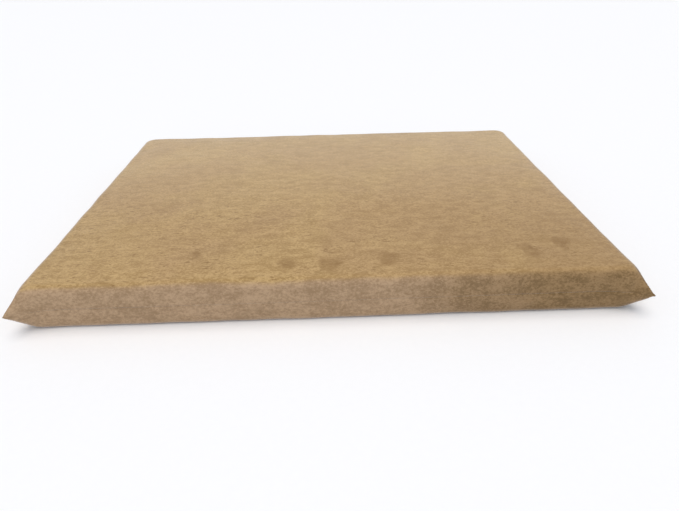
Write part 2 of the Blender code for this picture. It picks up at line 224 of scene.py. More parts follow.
def wrap(u, v, rim_radius, side):
    """Places points (u, v) of a cut panel on the pad. Side is 1 for the top panel, -1 for the bottom one."""
    half_u = HALF_X + flat_reach(rim_radius)
    half_v = HALF_Y + flat_reach(rim_radius)
    from_x = half_u - np.abs(u)
    from_y = half_v - np.abs(v)
    path = np.minimum(from_x, from_y)
    inset, height = profile(path, rim_radius)
    ear = np.clip(1 - height / SEAM_Z, 0, 1) ** EAR_POWER[side]
    fade = np.clip(2 - path / CORNER_FADE, 0, 1)
    shrunk = CORNER_RADIUS - np.maximum(inset, 0) * CORNER_SHARPENING
    radius = np.maximum(shrunk, LEAST_RADIUS) * fade + 1e-5
    x_half = HALF_X - inset
    y_half = HALF_Y - inset
    on_long = from_y <= from_x
    share_long = np.clip(np.abs(u) / np.maximum(half_u - path, 1e-9), 0, 1)
    share_short = np.clip(np.abs(v) / np.maximum(half_v - path, 1e-9), 0, 1)
    long_along, long_across = half_side(share_long, x_half, y_half, radius, ear)
    short_along, short_across = half_side(share_short, y_half, x_half, radius, ear)
    x = np.where(on_long, long_along, short_across) * np.sign(u)
    y = np.where(on_long, long_across, short_along) * np.sign(v)
    return np.stack([x, y, SEAM_Z + side * height], axis=-1)


def bottom_stretch():
    """The bottom panel's cut size over the top panel's, along X and along Y."""
    bottom, top = flat_reach(BOTTOM_RADIUS), flat_reach(TOP_RADIUS)
    return (HALF_X + bottom) / (HALF_X + top), (HALF_Y + bottom) / (HALF_Y + top)


def wrap_side(u, v, side):
    """wrap() with both panels given in the top panel's cut coordinates."""
    if side > 0:
        return wrap(u, v, TOP_RADIUS, 1)
    stretch_u, stretch_v = bottom_stretch()
    return wrap(u * stretch_u, v * stretch_v, BOTTOM_RADIUS, -1)


# ---------------------------------------------------------------- the cover as one sewn cloth

def uneven(points, amount, wave, seed):
    """Smooth pseudo-random numbers, one for each point, the same each run."""
    shift = Vector((seed * 7.1, seed * 3.7, seed * 5.3))
    flat = np.asarray(points).reshape(-1, 3)
    found = np.array([amount * noise.noise(Vector(p) / wave + shift) for p in flat])
    return found.reshape(np.asarray(points).shape[:-1])


def quads(index, is_top):
    """The faces of one panel's grid, with their outer side out."""
    a, b, c, d = index[:-1, :-1], index[1:, :-1], index[1:, 1:], index[:-1, 1:]
    corners = (a, b, c, d) if is_top else (d, c, b, a)
    return np.stack([k.reshape(-1) for k in corners], axis=-1)


def mesh_object(name, points, faces):
    mesh = bpy.data.meshes.new(name)
    mesh.from_pydata([tuple(p) for p in points], [], [tuple(f) for f in faces])
    mesh.shade_smooth()
    obj = bpy.data.objects.new(name, mesh)
    bpy.context.scene.collection.objects.link(obj)
    return obj


def foam_block():
    """What the cloth rests on while it relaxes."""
    bm = bmesh.new()
    bmesh.ops.create_cube(bm, size=2)
    half = Vector((HALF_X - FOAM_INSET, HALF_Y - FOAM_INSET, SEAM_Z - FOAM_INSET))
    for vert in bm.verts:
        vert.co = Vector((vert.co.x * half.x, vert.co.y * half.y, SEAM_Z + vert.co.z * half.z))
    upright = [e for e in bm.edges if abs(e.verts[0].co.z - e.verts[1].co.z) > half.z]
    bmesh.ops.bevel(bm, geom=upright, offset=CORNER_RADIUS, segments=5, profile=0.5, affect="EDGES")
    for height, radius in ((SEAM_Z + half.z, TOP_RADIUS), (SEAM_Z - half.z, BOTTOM_RADIUS)):
        rim = [e for e in bm.edges if all(abs(v.co.z - height) < 1e-6 for v in e.verts)]
        bmesh.ops.bevel(bm, geom=rim, offset=radius, segments=5, profile=0.5, affect="EDGES")
    mesh = bpy.data.meshes.new("foam_block")
    bm.to_mesh(mesh)
    bm.free()
    block = bpy.data.objects.new("foam_block", mesh)
    bpy.context.scene.collection.objects.link(block)
    block.modifiers.new("collision", "COLLISION")
    block.collision.thickness_outer = 0.001
    block.collision.thickness_inner = 0.01
    block.collision.cloth_friction = 4
    return block


def cloth_settings(modifier, cut_key):
    cloth = modifier.settings
    cloth.rest_shape_key = cut_key
    cloth.quality = 8
    cloth.mass = 0.25
    cloth.tension_stiffness = 40
    cloth.compression_stiffness = 25
    cloth.shear_stiffness = 15
    cloth.bending_stiffness = 1.0
    cloth.tension_damping = 8
    cloth.compression_damping = 8
    cloth.shear_damping = 8
    cloth.bending_damping = 1
    cloth.air_damping = 2
    cloth.use_pressure = True
    cloth.uniform_pressure_force = PRESSURE
    cloth.effector_weights.gravity = 0
    modifier.collision_settings.use_self_collision = False
    modifier.collision_settings.distance_min = 0.0012
    modifier.point_cache.frame_start = 1
    modifier.point_cache.frame_end = FRAMES


def relax(places, cuts, faces):
    """Cloth simulation: the sewn panels, cut flat, settle round the foam. Returns each point's motion."""
    start = places.copy()
    start[:, 2] += uneven(places, START_NOISE, 0.09, 1)
    cover = mesh_object("cover_cloth", start, faces)
    cover.shape_key_add(name="Basis")
    cut_key = cover.shape_key_add(name="cut")
    for point, place in zip(cut_key.data, cuts * SHRINK):
        point.co = place
    cut_key.value = 0
    block = foam_block()
    modifier = cover.modifiers.new("cloth", "CLOTH")
    cloth_settings(modifier, cut_key)
    for step in range(1, FRAMES + 1):
        bpy.context.scene.frame_set(step)
    settled = cover.evaluated_get(bpy.context.evaluated_depsgraph_get()).to_mesh()
    found = np.empty(len(settled.vertices) * 3, np.float32)
    settled.vertices.foreach_get("co", found)
    bpy.context.scene.frame_set(1)
    bpy.data.objects.remove(cover)
    bpy.data.objects.remove(block)
    motion = found.reshape(-1, 3).astype(float) - places
    length = np.linalg.norm(motion, axis=1, keepdims=True)
    return motion * np.minimum(1, MOST_MOTION / np.maximum(length, 1e-9))


def smoothed(grid):
    """One light smoothing of a grid of vectors, along both its axes."""
    for axis in (0, 1):
        rows = np.moveaxis(grid, axis, 0).copy()
        rows[1:-1] = (rows[:-2] + 2 * rows[1:-1] + rows[2:]) / 4
        grid = np.moveaxis(rows, 0, axis)
    return grid


def settle():
    """The cloth's grid lines and its motion there, for the top (1) and the bottom (-1) panel."""
    u = grid_lines(HALF_X + flat_reach(TOP_RADIUS))
    v = grid_lines(HALF_Y + flat_reach(TOP_RADIUS))
    grid_u, grid_v = np.meshgrid(u, v, indexing="ij")

    is_seam = np.ones(grid_u.shape, bool)
    is_seam[1:-1, 1:-1] = False
    top_index = np.arange(grid_u.size).reshape(grid_u.shape)
    bottom_index = top_index.copy()
    bottom_index[~is_seam] = grid_u.size + np.arange((~is_seam).sum())
    cut = np.stack([grid_u, grid_v, np.zeros_like(grid_u)], axis=-1)
    places = np.concatenate([wrap_side(grid_u, grid_v, 1).reshape(-1, 3),
                             wrap_side(grid_u, grid_v, -1)[~is_seam]])
    cuts = np.concatenate([cut.reshape(-1, 3), cut[~is_seam]])
    faces = np.concatenate([quads(top_index, True), quads(bottom_index, False)])
    motion = relax(places, cuts, faces)

    moves = {}
    for side, index in ((1, top_index), (-1, bottom_index)):
        moves[side] = smoothed(smoothed(motion[index]))
    joined = (moves[1][is_seam] + moves[-1][is_seam]) / 2
    for side in moves:
        moves[side][is_seam] = joined
    return u, v, moves


def read_along(fine, coarse, values):
    """Smooth reading, at the fine lines, of values given at the coarse lines along the first axis."""
    cell = np.clip(np.searchsorted(coarse, fine) - 1, 0, len(coarse) - 2)
    after = cell + 1
    before_that = np.maximum(cell - 1, 0)
    after_that = np.minimum(after + 1, len(coarse) - 1)
    step = (coarse[after] - coarse[cell])[:, None, None]
    slope_in = (values[after] - values[before_that]) / (coarse[after] - coarse[before_that])[:, None, None]
    slope_out = (values[after_that] - values[cell]) / (coarse[after_that] - coarse[cell])[:, None, None]
    t = (fine - coarse[cell])[:, None, None] / step
    return ((2 * t**3 - 3 * t**2 + 1) * values[cell] + (t**3 - 2 * t**2 + t) * slope_in * step
            + (3 * t**2 - 2 * t**3) * values[after] + (t**3 - t**2) * slope_out * step)


# ---------------------------------------------------------------- the two shown panels

def shown_lines(half, extra=()):
    """Lines of a shown panel from -half to half: close together at the seam, even cells inside."""
    edge = np.concatenate([SEAM_ROWS, np.arange(SEAM_ROWS[-1] + EDGE_CELL, FINE_BAND, EDGE_CELL)])
    inner = half - FINE_BAND
    cells = int(round(2 * inner / MIDDLE_CELL))
    middle = np.linspace(-inner, inner, cells + 1)
    lines = np.concatenate([-half + edge, middle, (half - edge)[::-1], extra])
    lines = np.sort(lines)
    return lines[np.concatenate([[True], np.diff(lines) > 1e-4])]


def opening_share(x):
    """1 along the zipper's opening, 0 past its two ends."""
    return smooth_step((SLOT_HALF + SLOT_TAPER / 2 - np.abs(x)) / SLOT_TAPER)


def slot_end_lines(half_u, half_v):
    """Extra grid lines where the opening closes, as cut coordinates along the rear edge."""
    dense = np.linspace(0, half_u, SLOT_READINGS)
    x = wrap_side(dense, np.full_like(dense, half_v), 1)[:, 0]
    wanted = np.linspace(SLOT_HALF - SLOT_TAPER, SLOT_HALF + SLOT_TAPER, SLOT_END_ROWS)
    lines = np.interp(wanted, x, dense)
    return np.concatenate([-lines, lines])


def outward(points, is_top):
    """Unit normals of a panel's grid, on its outer side."""
    along_u = np.gradient(points, axis=0)
    along_v = np.gradient(points, axis=1)
    normal = np.cross(along_u, along_v) * (1 if is_top else -1)
    return normal / np.maximum(np.linalg.norm(normal, axis=-1, keepdims=True), 1e-12)


def panel_points(side, cloth, u, v):
    """The places of a shown panel's grid points, with its seam, puckers, waves and zipper opening."""
    half_u, half_v = u[-1], v[-1]
    grid_u, grid_v = np.meshgrid(u, v, indexing="ij")
    from_seam = np.minimum(half_u - np.abs(grid_u), half_v - np.abs(grid_v))

    # The rear edge is cut back along the zipper's opening
    rear_x = wrap_side(u, np.full_like(u, half_v), side)[:, 0]
    open_here = opening_share(rear_x)[:, None]
    from_rear = np.maximum(half_v - grid_v, 0)
    band = ZIP_HOLD + SLOT_HALF_HEIGHT
    cut_back = SLOT_HALF_HEIGHT * open_here * np.clip(1 - from_rear / band, 0, 1)
    on_rear = half_u - np.abs(grid_u) > from_rear
    grid_v = grid_v - np.where(on_rear, cut_back, 0)

    rest = wrap_side(grid_u, grid_v, side)
    cloth_u, cloth_v, moves = cloth
    motion = read_along(u, cloth_u, moves[side])
    motion = np.swapaxes(read_along(v, cloth_v, np.swapaxes(motion, 0, 1)), 0, 1)
    tip = np.hypot(half_u - np.abs(grid_u), half_v - np.abs(grid_v))
    motion = motion * (1 - EAR_HOLD * np.exp(-(tip / EAR_HOLD_REACH) ** 2))[..., None]
    near_zip = np.where(grid_v > 0, np.clip(ZIP_HOLD_SPREAD - from_rear / ZIP_HOLD, 0, 1), 0)
    near_zip = near_zip * smooth_step((SLOT_HALF + ZIP_HOLD_END - np.abs(rest[..., 0])) / ZIP_HOLD_FADE)
    points = rest + motion * (1 - near_zip)[..., None]

    normal = outward(points, side > 0)
    flat = normal.copy()
    flat[..., 2] = 0
    flat = flat / np.maximum(np.linalg.norm(flat, axis=-1, keepdims=True), 1e-9)

    # Seam line pulled in, with small puckers that fade up the wall
    ear_tip = EAR_TIP_GROOVE * np.exp(-(tip / EAR_TIP_REACH) ** 2)
    groove = GROOVE * (1 - smooth_step(from_seam / GROOVE_WIDTH)) * (1 - ear_tip) * (1 - near_zip)
    pucker_place = rest * np.array([1, 1, PUCKER_TALL])
    pucker = uneven(pucker_place, PUCKER, PUCKER_WAVE, 2)
    pucker = pucker * np.exp(-(from_seam / PUCKER_REACH) ** 2) * (1 - near_zip)
    points = points + flat * (pucker - groove)[..., None]

    # The opening's edges roll in over the zipper tape, and its stitches draw the wall in
    open_rear = open_here * on_rear * (grid_v > 0)
    roll = ROLL * (1 - smooth_step(from_rear / ROLL_WIDTH)) * open_rear
    channel = CHANNEL * np.exp(-((rest[..., 2] - SEAM_Z - side * STITCH_Z) / CHANNEL_WIDTH) ** 2) * open_rear
    points = points - flat * (roll + channel)[..., None]

    # A dimple on each side of an ear, where the cloth folds round the foam's corner
    for along, half in ((rest[..., 0], HALF_X), (rest[..., 1], HALF_Y)):
        across_ear = np.exp(-((np.abs(along) - half + DIMPLE_BACK) / DIMPLE_WIDTH) ** 2)
        up_ear = np.exp(-((rest[..., 2] - DIMPLE_Z) / DIMPLE_HEIGHT) ** 2)
        # No two ears are alike: the depth is 30 to 100%, by the corner
        uneven_depth = 0.65 + 0.35 * np.sin(5 * np.sign(rest[..., 0]) + 3 * np.sign(rest[..., 1]))
        dimple = DIMPLE * across_ear * up_ear * uneven_depth * np.exp(-(from_seam / DIMPLE_REACH) ** 2)
        points = points - flat * dimple[..., None]

    # Slow waves of the cloth along the crest and over the top
    crest = np.exp(-((from_seam - CREST_PLACE) / CREST_REACH) ** 2) * (1 - near_zip)
    waves = uneven(rest, CREST_WAVE, CREST_WAVE_LENGTH, 3) * crest
    if side > 0:
        rise = smooth_step(from_seam / TOP_WAVE_RISE)
        waves = waves + uneven(rest, TOP_WAVE, TOP_WAVE_LENGTH, 4) * rise
        waves = waves + uneven(rest, TOP_WAVE * SMALL_WAVE_SHARE, SMALL_WAVE_LENGTH, 5) * rise
    points = points + normal * waves[..., None]
    if side < 0:
        points[..., 2] = np.maximum(points[..., 2], 0)
    return points


def cover_panels():
    """Both panels of the cover, as pieces that replace the CAD panels."""
    cloth = settle()
    half_u, half_v = cloth[0][-1], cloth[1][-1]
    u = shown_lines(half_u, slot_end_lines(half_u, half_v))
    v = shown_lines(half_v)
    index = np.arange(len(u) * len(v)).reshape(len(u), len(v))
    grids = {side: panel_points(side, cloth, u, v) for side in (1, -1)}

    # Where the panels are sewn together they share one line
    is_seam = np.ones(index.shape, bool)
    is_seam[1:-1, 1:-1] = False
    rear_open = opening_share(grids[1][:, -1, 0]) > LEAST_OPENING
    is_seam[rear_open, -1] = False
    middle = (grids[1][is_seam] + grids[-1][is_seam]) / 2
    for side in grids:
        grids[side][is_seam] = middle

    panels = []
    for side, name, node in ((1, "cover_top", "cover_top_panel"), (-1, "cover_bottom", "cover_bottom_panel")):
        panel = mesh_object(name, grids[side].reshape(-1, 3), quads(index, side > 0))
        thick = panel.modifiers.new("fabric", "SOLIDIFY")
        thick.thickness = FABRIC
        thick.offset = -1
        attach(panel, "cushion")
        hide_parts(node)
        panels.append(panel)
    return panels


# ---------------------------------------------------------------- zipper coils, stitches, tacks, label

def swept(paths, radius):
    """Points and faces of round tubes of one radius along lists of points, with pinched ends."""
    sides = THREAD_SIDES
    points, faces = [], []
    for path in paths:
        path = [Vector(p) for p in path]
        first = len(points)
        for i, place in enumerate(path):
            ahead = path[min(i + 1, len(path) - 1)] - path[max(i - 1, 0)]
            ahead.normalize()
            across = ahead.cross(Vector((0, 0, 1)))
            if across.length < 0.2:
                across = ahead.cross(Vector((0, 1, 0)))
            across.normalize()
            over = across.cross(ahead)
            size = radius * (PINCHED_END if i in (0, len(path) - 1) else 1)
            for k in range(sides):
                turn = 2 * math.pi * k / sides
                points.append(place + size * (math.cos(turn) * across + math.sin(turn) * over))
        for i in range(len(path) - 1):
            for k in range(sides):
                a = first + i * sides + k
                b = first + i * sides + (k + 1) % sides
                faces.append((a, b, b + sides, a + sides))
        faces.append(tuple(first + k for k in reversed(range(sides))))
        last = first + (len(path) - 1) * sides
        faces.append(tuple(last + k for k in range(sides)))
    return points, faces


def tapes(panels):
    """The zipper's two woven tapes, each sewn to its panel."""
    made = []
    for panel, side, part in zip(panels, (1, -1), ("upper", "lower")):
        node = "zipper_tape_" + part
        low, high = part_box(node)
        outer = max(abs(low.z - SEAM_Z), abs(high.z - SEAM_Z))
        half = high.x + TAPE_TAIL
        ends = np.linspace(*TAPE_CLOSING, TAPE_END_ROWS)
        tails = np.linspace(TAPE_CLOSING[1], half, TAPE_END_ROWS)[1:]
        middle = np.linspace(-TAPE_CLOSING[0], TAPE_CLOSING[0], int(2 * TAPE_CLOSING[0] / TAPE_CELL))[1:-1]
        x = np.concatenate([-tails[::-1], -ends[::-1], middle, ends, tails])
        closing = smooth_step((np.abs(x) - TAPE_CLOSING[0]) / (TAPE_CLOSING[1] - TAPE_CLOSING[0]))
        edge = TAPE_GAP + (TAPE_EDGE - TAPE_GAP) * closing
        across = np.linspace(0, 1, TAPE_COLUMNS)
        off = edge[:, None] + (outer - edge[:, None]) * across
        points = np.stack([np.repeat(x[:, None], len(across), axis=1), np.zeros_like(off),
                           SEAM_Z + side * off], axis=-1)
        points[..., 1] = (low.y + high.y) / 2 + uneven(points, TAPE_RIPPLE, TAPE_RIPPLE_LENGTH, 6)
        index = np.arange(off.size).reshape(off.shape)
        strip = mesh_object("tape_" + part, points.reshape(-1, 3), quads(index, side < 0))
        thick = strip.modifiers.new("weave", "SOLIDIFY")
        thick.thickness = TAPE_THICKNESS
        thick.offset = 0
        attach(strip, "cushion")
        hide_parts(node)
        made.append(strip)
    return made


def coils():
    """The two wound nylon coils, interlocked along the zipper's middle."""
    made = []
    for side, part in ((1, "upper"), (-1, "lower")):
        node = "zipper_coil_" + part
        low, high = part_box(node)
        inner = SEAM_Z - side * COIL_REACH
        outer = high.z if side > 0 else low.z
        centre_z, half_z = (inner + outer) / 2, abs(outer - inner) / 2 - COIL_WIRE
        centre_y, half_y = (low.y + high.y) / 2, (high.y - low.y) / 2 - COIL_WIRE
        turns = int((high.x - low.x - 2 * COIL_WIRE) / COIL_PITCH)
        phase = 0 if side > 0 else 0.5
        path = []
        for step in range(turns * COIL_STEPS + 1):
            turn = step / COIL_STEPS
            angle = 2 * math.pi * turn
            x = low.x + COIL_WIRE + (turn + phase) * COIL_PITCH
            path.append((x, centre_y - half_y * math.sin(angle), centre_z - side * half_z * math.cos(angle)))
        points, faces = swept([path], COIL_WIRE)
        coil = mesh_object("coil_" + part, points, faces)
        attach(coil, "cushion")
        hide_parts(node)
        made.append(coil)
    return made


def stitch(start, end, out):
    """One thread stitch that leaves the fabric at start and enters it again at end."""
    return [start.lerp(end, share) + out * lift * STITCH_RADIUS for share, lift in STITCH_LIFTS]


def stitch_rows(top, bottom):
    """Rows of lockstitches that hold the zipper tapes to the cover."""
    made = []
    for panel, side, part in ((top, 1, "upper"), (bottom, -1, "lower")):
        node = "zipper_stitching_" + part
        low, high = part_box(node)
        surface = BVHTree.FromObject(panel, bpy.context.evaluated_depsgraph_get())
        z = SEAM_Z + side * STITCH_Z
        paths = []
        x = low.x
        while x + STITCH_LENGTH < high.x:
            ends = []
            for place in (x, x + STITCH_LENGTH):
                hit = surface.ray_cast(Vector((place, HALF_Y + 0.05, z)), Vector((0, -1, 0)))
                ends.append(hit[0])
            out = hit[1] if hit[1].y > 0 else -hit[1]
            paths.append(stitch(ends[0], ends[1], out))
            x += STITCH_PITCH
        points, faces = swept(paths, STITCH_RADIUS)
        row = mesh_object("topstitch_" + part, points, faces)
        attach(row, "cushion")
        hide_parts(node)
        made.append(row)
    return made


def bar_tacks():
    """Dense tacks across the two ends of the zipper's opening."""
    made = []
    for part in ("left", "right"):
        node = "bar_tack_" + part
        low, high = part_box(node)
        y = (low.y + high.y) / 2 - TACK_SINK
        out = Vector((0, 1, 0))
        paths = []
        z = low.z
        slant = TACK_PITCH / 2
        while z < high.z:
            paths.append(stitch(Vector((low.x, y, z)), Vector((high.x, y, z + slant)), out))
            z += TACK_PITCH
        points, faces = swept(paths, STITCH_RADIUS)
        tack = mesh_object("tack_" + part, points, faces)
        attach(tack, "cushion")
        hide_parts(node)
        made.append(tack)
    return made


def label():
    """Blank care label: a folded satin ribbon sewn into the right side's seam, standing off a little."""
    low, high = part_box("care_label")
    width = high.y - low.y
    drop = high.z - low.z
    points = []
    for leaf in (0, 1):
        for i in range(LABEL_ROWS + 1):
            share = i / LABEL_ROWS
            down = share if leaf == 0 else 1 - share
            out = LABEL_LIFT * down**2 + LABEL_WAVE * math.sin(down * LABEL_WAVE_TURN)
            gap = LABEL_THICKNESS * LABEL_GAP * (1 - leaf) * (1 - down**6)
            for k in range(LABEL_COLUMNS + 1):
                across = k / LABEL_COLUMNS - 0.5
                curl = LABEL_CURL * across**2 * 4 * down
                x = low.x - SEAM_BULGE / 3 + out + gap + curl
                points.append((x, (low.y + high.y) / 2 + across * width, high.z - drop * down))
    index = np.arange(len(points)).reshape(-1, LABEL_COLUMNS + 1)
    piece = mesh_object("label_ribbon", points, quads(index, True))
    thick = piece.modifiers.new("ribbon", "SOLIDIFY")
    thick.thickness = LABEL_THICKNESS
    thick.offset = 0
    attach(piece, "cushion")
    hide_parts("care_label")
    return piece


# ---------------------------------------------------------------- materials

class Nodes:
    """A small helper that builds one material's node tree."""

    def __init__(self, name):
        self.material = bpy.data.materials.new(name)
        self.material.use_nodes = True
        self.tree = self.material.node_tree
        self.shader = self.tree.nodes["Principled BSDF"]
        self.place = self.tree.nodes.new("ShaderNodeTexCoord").outputs["Object"]

    def link(self, source, target):
        self.tree.links.new(source, target)

    def scaled(self, scale):
        node = self.tree.nodes.new("ShaderNodeMapping")
        node.inputs["Scale"].default_value = scale
        self.link(self.place, node.inputs["Vector"])
        return node.outputs["Vector"]

    def noise(self, scale, detail=3, rough=0.55, distort=0.0, stretch=(1, 1, 1)):
        node = self.tree.nodes.new("ShaderNodeTexNoise")
        node.inputs["Scale"].default_value = scale
        node.inputs["Detail"].default_value = detail
        node.inputs["Roughness"].default_value = rough
        node.inputs["Distortion"].default_value = distort
        self.link(self.scaled(stretch), node.inputs["Vector"])
        return node.outputs["Fac"]

    def cells(self, scale):
        node = self.tree.nodes.new("ShaderNodeTexVoronoi")
        node.inputs["Scale"].default_value = scale
        self.link(self.place, node.inputs["Vector"])
        return node.outputs["Distance"]

    def bend(self, scale, amount):
        """Keeps the place shifted unevenly, for marks with ragged outlines."""
        source = self.tree.nodes.new("ShaderNodeTexNoise")
        source.inputs["Scale"].default_value = scale
        source.inputs["Detail"].default_value = 4
        self.link(self.place, source.inputs["Vector"])
        shift = self.tree.nodes.new("ShaderNodeVectorMath")
        shift.operation = "MULTIPLY_ADD"
        shift.inputs[1].default_value = (amount, amount, 0)
        shift.inputs[2].default_value = (-amount / 2, -amount / 2, 0)
        self.link(source.outputs["Color"], shift.inputs[0])
        moved = self.tree.nodes.new("ShaderNodeVectorMath")
        moved.operation = "ADD"
        self.link(self.place, moved.inputs[0])
        self.link(shift.outputs["Vector"], moved.inputs[1])
        self.bent = moved.outputs["Vector"]

    def axes(self):
        """The place's X, Y and Z."""
        node = self.tree.nodes.new("ShaderNodeSeparateXYZ")
        self.link(self.place, node.inputs["Vector"])
        return node.outputs["X"], node.outputs["Y"], node.outputs["Z"]

    def spot(self, x, y, size):
        """1 at a place on the top of the pad, fading to 0 at size metres from it."""
        node = self.tree.nodes.new("ShaderNodeMapping")
        node.vector_type = "TEXTURE"
        node.inputs["Location"].default_value = (x, y, SEAM_Z * 2)
        node.inputs["Scale"].default_value = (size, size * 1.2, SEAM_Z)
        self.link(self.bent, node.inputs["Vector"])
        ball = self.tree.nodes.new("ShaderNodeTexGradient")
        ball.gradient_type = "SPHERICAL"
        self.link(node.outputs["Vector"], ball.inputs["Vector"])
        return self.ramp(ball.outputs["Fac"], 0.0, 0.6)

    def wave(self, scale, axis, distort=0.0, stretch=(1, 1, 1)):
        node = self.tree.nodes.new("ShaderNodeTexWave")
        node.bands_direction = axis
        node.inputs["Scale"].default_value = scale
        node.inputs["Distortion"].default_value = distort
        node.inputs["Detail"].default_value = 1
        self.link(self.scaled(stretch), node.inputs["Vector"])
        return node.outputs["Fac"]

    def math(self, kind, a, b):
        node = self.tree.nodes.new("ShaderNodeMath")
        node.operation = kind
        for socket, value in zip(node.inputs, (a, b)):
            if isinstance(value, (int, float)):
                socket.default_value = value
            else:
                self.link(value, socket)
        return node.outputs["Value"]

    def ramp(self, value, low, high, to_low=0.0, to_high=1.0):
        node = self.tree.nodes.new("ShaderNodeMapRange")
        node.interpolation_type = "SMOOTHSTEP"
        for key, number in (("From Min", low), ("From Max", high), ("To Min", to_low), ("To Max", to_high)):
            node.inputs[key].default_value = number
        self.link(value, node.inputs["Value"])
        return node.outputs["Result"]

    def mix(self, share, a, b):
        node = self.tree.nodes.new("ShaderNodeMix")
        node.data_type = "RGBA"
        self.link(share, node.inputs["Factor"])
        for key, value in (("A", a), ("B", b)):
            socket = [s for s in node.inputs if s.name == key and s.type == "RGBA"][0]
            if isinstance(value, tuple):
                socket.default_value = value + (1,)
            else:
                self.link(value, socket)
        return [s for s in node.outputs if s.type == "RGBA"][0]

    def colour(self, source):
        self.link(source, self.shader.inputs["Base Color"])

    def rough(self, source):
        self.link(source, self.shader.inputs["Roughness"])

    def bump(self, height, distance, strength=1.0, after=None):
        node = self.tree.nodes.new("ShaderNodeBump")
        node.inputs["Distance"].default_value = distance
        node.inputs["Strength"].default_value = strength
        self.link(height, node.inputs["Height"])
        if after is not None:
            self.link(after, node.inputs["Normal"])
        self.link(node.outputs["Normal"], self.shader.inputs["Normal"])
        return node.outputs["Normal"]

    def set(self, **values):
        for key, value in values.items():
            socket = self.shader.inputs[key.replace("_", " ").title().replace("Ior", "IOR")]
            socket.default_value = value if isinstance(value, (int, float)) else value + (1,)


def microsuede():
    """Brushed nap: pale and dark strokes at several sizes, and a short pile, with painted sheen, painted
    shade and a painted floor bounce over it.
    """
    n = Nodes("microsuede")
    dark_nap_and_shade = (0.262, 0.156, 0.063)       # of ruffled and worn nap, and painted shade at the front right
    broad = n.noise(6, detail=3, rough=0.55, distort=0.2)
    patches = n.noise(20, detail=9, rough=0.74, distort=0.25, stretch=(0.8, 1.1, 1))
    strokes = n.noise(62, detail=8, rough=0.78, distort=0.35, stretch=(0.55, 1.15, 1))
    grain = n.noise(260, detail=4, rough=0.75, stretch=(0.8, 1.2, 1))
    tone = n.math("ADD", n.math("MULTIPLY", patches, 0.20), n.math("MULTIPLY", strokes, 0.38))
    tone = n.math("ADD", tone, n.math("MULTIPLY", grain, 0.42))
    tone = n.ramp(tone, 0.425, 0.58)
    golden = n.mix(tone, (0.366, 0.232, 0.095), (0.555, 0.376, 0.173))
    brown = n.mix(tone, (0.348, 0.217, 0.095), (0.512, 0.338, 0.161))
    nap = n.mix(n.ramp(broad, 0.38, 0.62), golden, brown)
    marks = n.math("MULTIPLY", n.ramp(patches, 0.56, 0.66), n.ramp(strokes, 0.46, 0.60))
    nap = n.mix(n.math("MULTIPLY", marks, 0.55), nap, dark_nap_and_shade)

    # Short dark lines where the pile is ruffled, in clusters and mostly in the front half
    x, y, z = n.axes()
    lines = n.noise(190, detail=4, rough=0.7, distort=0.4, stretch=(0.42, 1.1, 1))
    ruffled = n.math("MULTIPLY", n.ramp(lines, 0.53, 0.62), n.ramp(patches, 0.47, 0.59, 0.05, 1.0))
    ruffled = n.math("MULTIPLY", ruffled, n.ramp(y, -0.15, 0.20, 0.85, 0.25))
    nap = n.mix(ruffled, nap, dark_nap_and_shade)
    n.bend(38, 0.040)
    for mark_x, mark_y, size in FINGER_MARKS:
        spot = n.spot(mark_x, mark_y, size)
        spot = n.math("MULTIPLY", spot, n.ramp(strokes, 0.36, 0.60, 0.15, 0.95))
        nap = n.mix(spot, nap, (0.278, 0.163, 0.063))

    # Painted sheen: the top is paler towards the rear; painted shade: it is darker at the front right
    nap = n.mix(n.ramp(y, -0.25, 0.36, 0.0, 0.16), nap, (0.93, 0.76, 0.50))
    right = n.ramp(n.math("ADD", x, n.math("MULTIPLY", broad, 0.30)), 0.20, 0.55)
    nap = n.mix(n.math("MULTIPLY", right, n.ramp(y, -0.32, -0.05, 0.26, 0.0)), nap, dark_nap_and_shade)

    # The side walls are painted greyer than the top, as painted shade where they turn away from the warm
    # light above, and darker towards the front right, also painted shade
    in_x = n.math("SUBTRACT", HALF_X, n.math("ABSOLUTE", x, 0.0))
    in_y = n.math("SUBTRACT", HALF_Y, n.math("ABSOLUTE", y, 0.0))
    ragged = n.math("MULTIPLY", n.math("ADD", patches, -0.5), 0.010)
    edge = n.math("ADD", n.math("MINIMUM", in_x, in_y), ragged)
    wall = n.math("MAXIMUM", n.ramp(edge, 0.0015, 0.0095, 1.0, 0.0), n.ramp(z, 0.02, 0.03, 1.0, 0.0))
    wall_nap_painted_light = n.mix(tone, (0.331, 0.219, 0.125), (0.489, 0.335, 0.206))
    front = n.ramp(y, -HALF_Y + 0.012, -HALF_Y + 0.03, 1.0, 0.0)
    painted_front_right_shade = n.mix(tone, (0.168, 0.101, 0.039), (0.304, 0.190, 0.084))
    wall_nap_painted_light = n.mix(n.math("MULTIPLY", n.math("MULTIPLY", right, front), 0.85), wall_nap_painted_light, painted_front_right_shade)
    # Painted floor bounce: a pale strip along the bottom edge, where the cloth faces the bright floor
    painted_floor_bounce = n.ramp(z, 0.002, 0.010, 0.35, 0.0)
    wall_nap_painted_light = n.mix(painted_floor_bounce, wall_nap_painted_light, (0.561, 0.451, 0.354))
    nap = n.mix(wall, nap, wall_nap_painted_light)
    n.colour(nap)
    n.rough(n.ramp(tone, 0.0, 1.0, 0.98, 0.90))
    n.set(sheen_weight=0.90, sheen_roughness=0.32, sheen_tint=(1.0, 0.96, 0.93), specular_ior_level=0.12)
    pile = n.bump(n.noise(1400, detail=2, rough=0.6, stretch=(1, 1.6, 1)), 0.00025, 0.6)
    n.bump(grain, 0.0006, 0.4, after=pile)
    return n.material


def thread():
    n = Nodes("thread")
    twist = n.wave(420, "DIAGONAL", 1.0)
    n.colour(n.mix(twist, (0.21, 0.13, 0.06), (0.42, 0.28, 0.14)))
    n.rough(n.ramp(twist, 0, 1, 0.72, 0.55))
    n.set(sheen_weight=0.15, specular_ior_level=0.35)
    n.bump(twist, 0.00012, 0.8)
    return n.material


